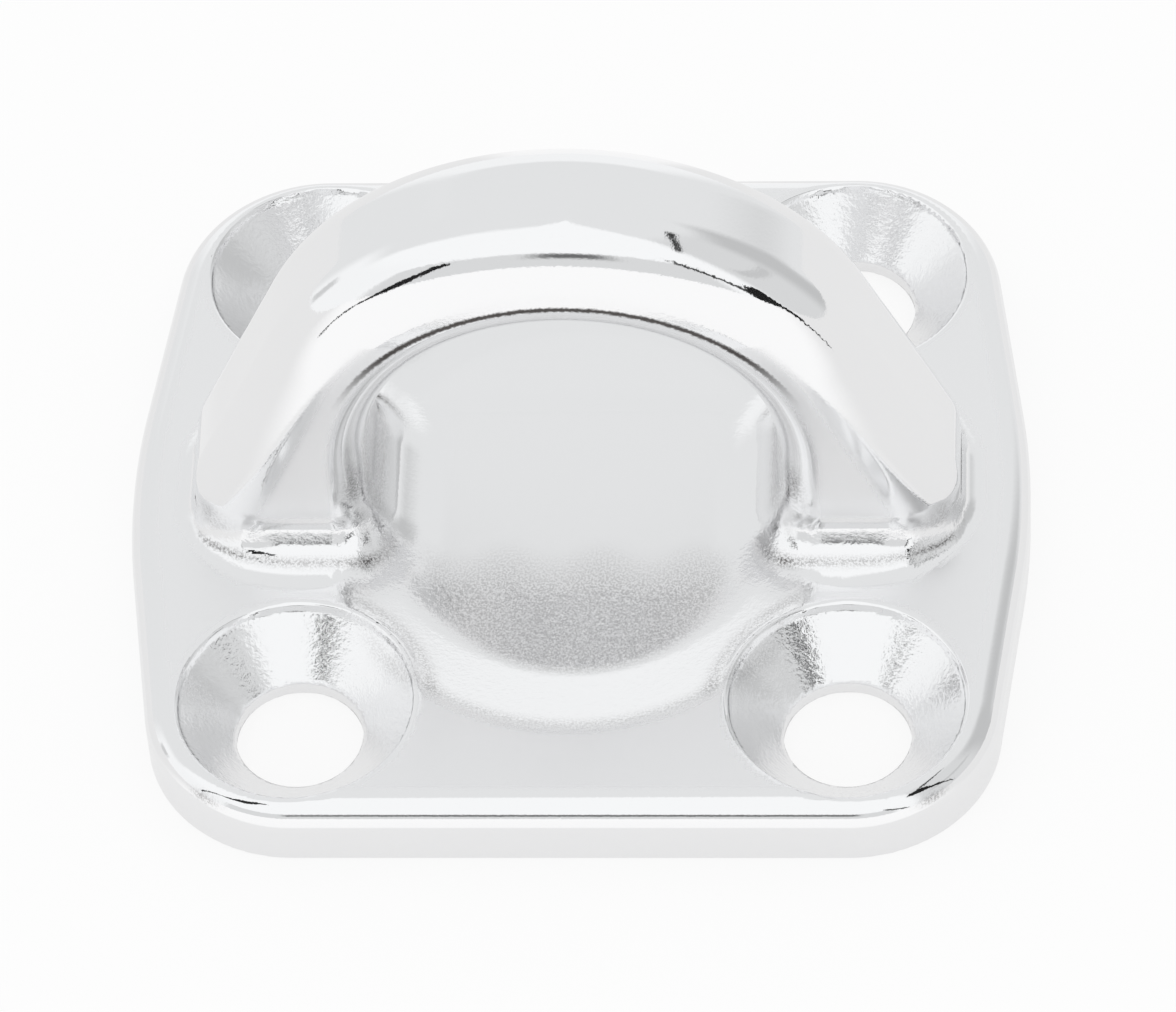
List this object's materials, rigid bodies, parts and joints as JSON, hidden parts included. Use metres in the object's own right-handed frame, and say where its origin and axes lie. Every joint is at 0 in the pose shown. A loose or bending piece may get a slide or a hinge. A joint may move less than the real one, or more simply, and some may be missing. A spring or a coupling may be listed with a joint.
{
  "type": "square pad eye",
  "caption": "Cast pad eye: a square plate with rounded corners and countersunk screw seats, a shallow dish in its top and a round bail standing across the middle.",
  "frame": {"origin": "centre of the flat underside, where the plate meets the deck", "axes": "+Z out of the deck through the top of the bail, +X along the bail from leg to leg, +Y through the eye"},
  "size_m": [0.06, 0.0542, 0.0357],
  "materials": {
    "steel": "polished casting, left as cast in the dish and the screw seats"
  },
  "bodies": {
    "root": {"pad_eye": "steel"}
  },
  "joints": []
}
